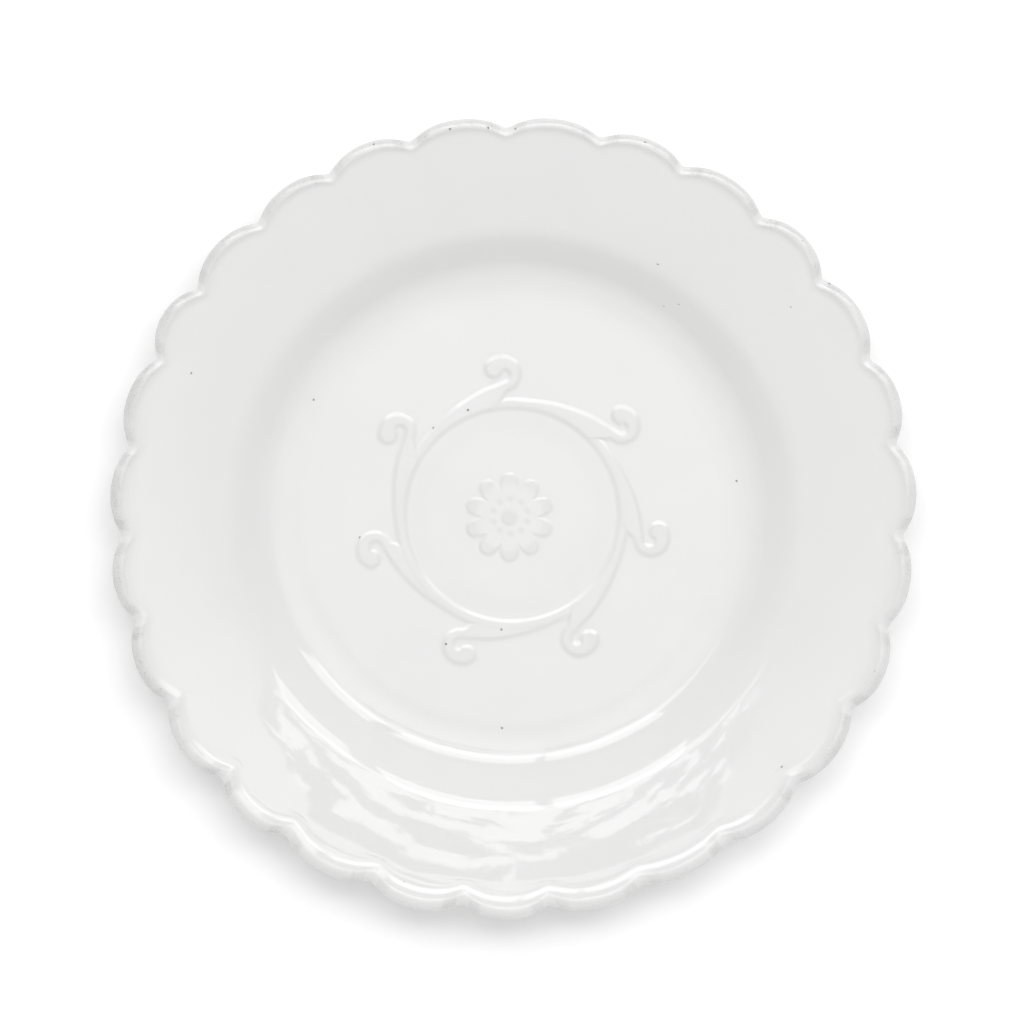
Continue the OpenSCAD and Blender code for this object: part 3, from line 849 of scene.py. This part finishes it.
def blank_section(name, r_in, r_out, fine_from, fine_to, fine_rows):
    """A flat coat of glaze between two radii, with fine rows where the relief stands."""
    top = [r_in] if r_in < fine_from else []
    top += [*np.linspace(fine_from, fine_to, fine_rows), r_out]
    points = [(r, floor_z) for r in top] + [(r_out, floor_z - coat_t), (r_in, floor_z - coat_t)]
    raised = [1] * len(top) + [0, 0]
    if r_in > 0:
        points.append((r_in, floor_z))
        raised.append(0)
    return section_mesh(name, points, raised=raised)


ring_and_tendrils = blank_section(
    "ring_and_tendrils", medallion_r, band_r, fine_from_r, fine_to_r, fine_rows=84)
tendril_line = tendril_guide()
curl_places = direction_points("curl_places", curl_directions, pressed_shares)
worked(
    ring_and_tendrils, relief, columns=1000, guide=tendril_line, directions=curl_places, centre=(0, 0, 0),
    ring_radius=ring_r, ring_width=ring_w, ring_height=ring_h, ring_thin_share=0.3, height=tendril_h,
    flank_out=flank_out, flank_in=flank_in, join_width=0.1 * mm, dot_radius=0.0, dot_width=0.1 * mm,
    dot_depth=0.0, glaze=relief_glaze)
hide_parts("ring_moulding", *[f"tendril_{i}" for i in range(1, 8)])
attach(ring_and_tendrils, "root")

# The rosette
# Ten low petals round a flat button, pressed a little off the middle of the plate. Each
# petal has a round end, and a small dent marks its root.

rosette_x = -0.7 * mm
rosette_y = -0.7 * mm
petals = 10
petal_w = 4.6 * mm
petal_root_w = 6.4 * mm
petal_root_r = 3.5 * mm
petal_end_r = 9.3 * mm
petal_h = 0.17 * mm
petal_thin_share = 1.5
petal_flank_out = 0.5 * mm
petal_flank_in = 0.8 * mm
button_w = 4.7 * mm
button_h = 0.19 * mm
dent_r = 4.6 * mm
dent_w = 2.9 * mm
dent_depth = 0.05 * mm
rosette_fine_r = 13.5 * mm

petal_line = guide("petal_line", [
    (mixed((petal_root_r, petal_end_r), s), 0, mixed((petal_root_w, petal_w), s) / 2, 1,
     petal_thin_share * s ** 6)
    for s in np.linspace(0, 1, 60)])
petal_places = direction_points(
    "petal_places", [90 + 360 / petals * i for i in range(petals)], [1] * petals, rosette_x, rosette_y)
rosette = blank_section("rosette", 0, medallion_r, 0, rosette_fine_r, fine_rows=76)
worked(
    rosette, relief, columns=420, guide=petal_line, directions=petal_places,
    centre=(rosette_x, rosette_y, 0), ring_radius=0.0, ring_width=button_w, ring_height=button_h,
    ring_thin_share=1.8, height=petal_h, flank_out=petal_flank_out, flank_in=petal_flank_in,
    join_width=0.05 * mm, dot_radius=dent_r, dot_width=dent_w, dot_depth=dent_depth, glaze=relief_glaze)
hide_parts("medallion_glaze", "rosette_button", *[f"petal_{i}" for i in range(1, petals + 1)])
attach(rosette, "root")

for guide_line in (notches, tendril_line, curl_places, petal_line, petal_places):
    bpy.data.objects.remove(guide_line)

# The camera
# It looks down from far above, leaning a little towards +Y and -X, as the photograph does.

view_distance = 5.0
view_lean_y = 5.0
view_lean_x = -1.2
sensor_w = 36
photo_px = 1024
plate_px = 811.3
plate_middle_px = Vector((513.0, 519.0))

px_size = 2 * plate_r / plate_px
photo_middle_px = Vector((photo_px / 2, photo_px / 2))
off_middle = (photo_middle_px - plate_middle_px) * px_size
aim = Vector((off_middle.x, -off_middle.y, crest_z))
back_to_camera = Vector(
    (math.tan(math.radians(view_lean_x)), math.tan(math.radians(view_lean_y)), 1)).normalized()
right = Vector((0, 1, 0)).cross(back_to_camera).normalized()
up = back_to_camera.cross(right)
camera = in_scene("camera", bpy.data.cameras.new("camera"))
camera.data.sensor_width = sensor_w
camera.data.lens = sensor_w * view_distance / (photo_px * px_size)
camera.data.clip_end = 100
axes = Matrix((right, up, back_to_camera)).transposed().to_4x4()
camera.matrix_world = Matrix.Translation(aim + back_to_camera * view_distance) @ axes
bpy.context.scene.camera = camera

# The pinholes
# Tiny pits where the glaze has drawn back from a bubble, so that the dark clay shows. They
# lie where the photograph has them, in no order.

pinhole_r = 0.32 * mm
pinhole_h = 0.02 * mm
small_share = 0.6
pinhole_px = [
    (191, 373), (313.5, 399.6), (360, 537.5), (450, 129), (488, 128), (515.6, 129.3), (374, 144.6),
    (468, 410), (433.5, 428), (645, 142.7), (658, 264), (664, 306), (679, 304), (802, 241), (829, 284),
    (791, 307), (736.6, 481), (502, 728), (501.5, 629.5), (446, 644), (404, 882), (782, 767), (875, 671)]
small_pinhole_px = [(664, 306), (679, 304), (802, 241), (791, 307), (404, 882), (875, 671)]

eye = camera.matrix_world.translation
depsgraph = bpy.context.evaluated_depsgraph_get()
pits, sizes = [], []
for px, py in pinhole_px:
    point = aim + right * ((px - photo_px / 2) * px_size) + up * ((photo_px / 2 - py) * px_size)
    for coat in (front, ring_and_tendrils, rosette):
        hit, place, normal, face = coat.ray_cast(eye, (point - eye).normalized(), depsgraph=depsgraph)
        if hit:
            pits.append(place)
            sizes.append(small_share if (px, py) in small_pinhole_px else 1.0)
            break


def pinhole_tree():
    """A flat dome of bare clay on each point."""
    tree, given = new_tree("scattered_pits", radius="Float", height="Float", clay="Material")
    dome = add(tree, "GeometryNodeMeshUVSphere", {
        "Segments": 16, "Rings": 8, "Radius": given["Radius"]}).outputs["Mesh"]
    squash = calc(tree, "DIVIDE", given["Height"], given["Radius"])
    flat = add(tree, "GeometryNodeTransform", {"Geometry": dome, "Scale": add(
        tree, "ShaderNodeCombineXYZ", {0: 1.0, 1: 1.0, 2: squash}).outputs[0]}).outputs[0]
    pits = add(tree, "GeometryNodeInstanceOnPoints", {
        "Points": given["Geometry"], "Instance": flat, "Scale": named(tree, "size")}).outputs[0]
    close_tree(tree, pits, given["Clay"])
    return tree


pit_mesh = bpy.data.meshes.new("pinholes")
pit_mesh.from_pydata(pits, [], [])
carry(pit_mesh, "size", sizes)
pinholes = in_scene("pinholes", pit_mesh)
worked(pinholes, pinhole_tree(), radius=pinhole_r, height=pinhole_h, clay=clay)
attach(pinholes, "root")

# The table and the light
# A white table in a white room, with a tall window of two panes beyond the plate and a
# soft pale ceiling above it.

table_size = 60
table_glow = 0.145


def seen_white(tree):
    """1 for what the camera sees, directly, in gloss or through glass, and 0 for other light."""
    path = add(tree, "ShaderNodeLightPath").outputs
    in_gloss = calc(tree, "MAXIMUM", path["Is Camera Ray"], path["Is Glossy Ray"])
    return calc(tree, "MAXIMUM", in_gloss, path["Is Transmission Ray"])


table_mesh = bpy.data.meshes.new("table_top")
table_mesh.from_pydata(
    [(x * table_size, y * table_size, 0) for x, y in ((-0.5, -0.5), (0.5, -0.5), (0.5, 0.5), (-0.5, 0.5))],
    [], [(0, 1, 2, 3)])
table_top = in_scene("table_top", table_mesh)
table_paint, tree, shader = new_material("table_paint")
shader.inputs["Base Color"].default_value = (0.97, 0.97, 0.97, 1)
shader.inputs["Roughness"].default_value = 0.9
shader.inputs["Specular IOR Level"].default_value = 0.0
shader.inputs["Emission Color"].default_value = (1, 1, 1, 1)
tree.links.new(calc(tree, "MULTIPLY", seen_white(tree), table_glow), shader.inputs["Emission Strength"])
from_below = add(tree, "ShaderNodeNewGeometry").outputs["Backfacing"]
clear = add(tree, "ShaderNodeBsdfTransparent").outputs[0]
one_sided = add(tree, "ShaderNodeMixShader", {0: from_below, 1: shader.outputs[0], 2: clear}).outputs[0]
tree.links.new(one_sided, tree.nodes["Material Output"].inputs["Surface"])
table_mesh.materials.append(table_paint)

# The room's white walls are bright near the table's height and darker overhead and beyond the plate
room_light = 0.475
wall_level = 2.1
overhead_fall = -1.65
beyond_fall = -0.3
right_fall = -0.1
world = bpy.data.worlds.new("white_room")
bpy.context.scene.world = world
world.use_nodes = True
tree = world.node_tree
way = add(tree, "ShaderNodeSeparateXYZ", {0: add(tree, "ShaderNodeTexCoord").outputs["Generated"]}).outputs
level = calc(tree, "MULTIPLY_ADD", calc(tree, "ABSOLUTE", way["Z"]), overhead_fall, wall_level)
for axis, fall in (("Y", beyond_fall), ("X", right_fall)):
    level = calc(tree, "MULTIPLY_ADD", way[axis], fall, level)
level = calc(tree, "MULTIPLY", room_light, level)
strength = calc(tree, "MULTIPLY_ADD", seen_white(tree), calc(tree, "SUBTRACT", 1.0, level), level)
tree.nodes["Background"].inputs["Color"].default_value = (1, 1, 1, 1)
tree.links.new(strength, tree.nodes["Background"].inputs["Strength"])


def lamp_panel(name, width, depth, radiance, place, turn_x=0, turn_z=0, shape="RECTANGLE"):
    """A flat lamp that shines evenly, and its node tree, in which a mask can be put on it."""
    light = bpy.data.lights.new(name, "AREA")
    light.shape = shape
    light.size, light.size_y = width, depth
    light.energy = radiance * math.pi * width * depth * (math.pi / 4 if shape == "ELLIPSE" else 1)
    light.use_nodes = True
    lamp = in_scene(name, light)
    lamp.location = place
    lamp.rotation_euler = (math.radians(turn_x), 0, math.radians(turn_z))
    lamp.visible_camera = False
    return light.node_tree


# Two panes of the tall window, and a smaller one to the right
window_y = 3.0
window_low = 1.15 * window_y
window_high = 3.75 * window_y
window_radiance = 3.0
for name, left, right in (("left_pane", -0.87, -0.12), ("right_pane", -0.05, 0.67)):
    lamp_panel(
        name, (right - left) * window_y, window_high - window_low, window_radiance,
        ((left + right) / 2 * window_y, window_y, (window_low + window_high) / 2), turn_x=-90)

side_azimuth = 52
side_w = 0.42 * window_y
side_radiance = 2.6
side_low = 0.75 * window_y
side_high = 2.3 * window_y
side_x, side_y = (window_y * turn(math.radians(side_azimuth)) for turn in (math.sin, math.cos))
lamp_panel(
    "side_window", side_w, side_high - side_low, side_radiance,
    (side_x, side_y, (side_low + side_high) / 2), turn_x=-90, turn_z=-side_azimuth)

# Sky between leaves, seen through a roof light. The leaves are thinner further off
roof_z = 4.0
leaves_w = 3.4
leaves_d = 1.5
leaves_place = (0.1, 0.3 + leaves_d / 2, roof_z)
leaves_radiance = 2.6
leaves_narrow = 1.8
leaves_thinning = 0.4
gap_edges = (0.59, 0.592)
tree = lamp_panel("sky_between_leaves", leaves_w, leaves_d, leaves_radiance, leaves_place)
spot = add(tree, "ShaderNodeNewGeometry").outputs["Parametric"]
spread = add(tree, "ShaderNodeVectorMath", {
    0: spot, 1: (leaves_w, leaves_d * leaves_narrow, 0)}, operation="MULTIPLY").outputs[0]
leaves = add(tree, "ShaderNodeTexNoise", {
    "Vector": spread, "Scale": 5.0, "Detail": 4.0, "Roughness": 0.6, "Distortion": 0.3}).outputs["Fac"]
further = add(tree, "ShaderNodeSeparateXYZ", {0: spot}).outputs["Y"]
thinner = calc(tree, "MULTIPLY_ADD", further, leaves_thinning, leaves)
gaps = add(tree, "ShaderNodeMapRange", {
    "Value": thinner, "From Min": gap_edges[0], "From Max": gap_edges[1]}).outputs[0]
tree.links.new(gaps, tree.nodes["Emission"].inputs["Strength"])

# The ceiling's soft round glow, which fades out to its edge
ceiling_w = 3.0
ceiling_place = (0.3, 0.35, roof_z)
ceiling_radiance = 1.85
tree = lamp_panel("ceiling_glow", ceiling_w, ceiling_w, ceiling_radiance, ceiling_place, shape="ELLIPSE")
spot = add(tree, "ShaderNodeNewGeometry").outputs["Parametric"]
spread = add(tree, "ShaderNodeVectorMath", {0: spot, 1: (0.5, 0.5, 0)}, operation="DISTANCE").outputs[1]
glow = add(tree, "ShaderNodeMapRange", {
    "Value": spread, "From Min": 0.5, "From Max": 0.0}, interpolation_type="SMOOTHSTEP").outputs[0]
tree.links.new(glow, tree.nodes["Emission"].inputs["Strength"])

bpy.context.scene.view_settings.view_transform = "Standard"
